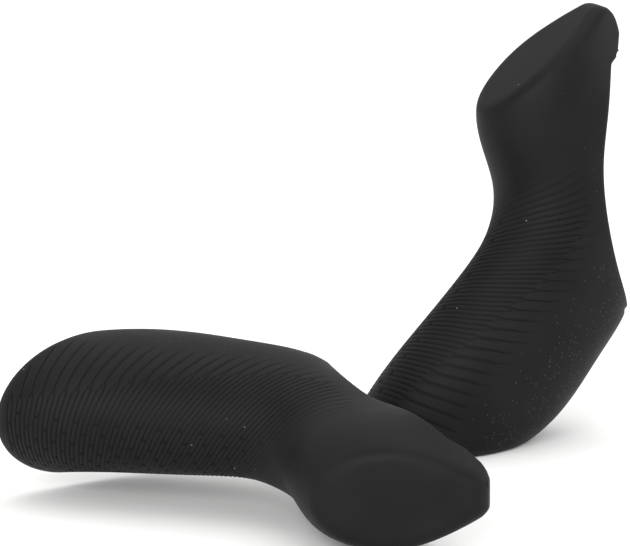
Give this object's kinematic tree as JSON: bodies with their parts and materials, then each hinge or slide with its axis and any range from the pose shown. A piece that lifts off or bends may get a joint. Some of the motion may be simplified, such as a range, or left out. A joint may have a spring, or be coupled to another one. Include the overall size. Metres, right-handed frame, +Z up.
{
  "type": "brake and shift lever hood pair",
  "caption": "Left and right moulded rubber hoods for hydraulic road brake and shift levers: hollow grooved grip, open rear rim, lever opening and closed horn.",
  "frame": {"origin": "on the surface that the pair rests on, under the middle of the pair's bounding box", "axes": "+Z up; +X from the grip of the lying left hood towards its horn, to within 21 degrees; the right hood stands beside and behind that horn, at +X +Y"},
  "size_m": [0.16, 0.1408, 0.1122],
  "materials": {
    "hood_rubber": "matte"
  },
  "bodies": {
    "left": {"left_hood": "hood_rubber"},
    "right": {"right_hood": "hood_rubber"}
  },
  "joints": [
    {"name": "right_hood_lift", "type": "slide", "parent": "left", "child": "right", "axis": [0, 0, 1], "range_m": [0, 0.15]}
  ]
}
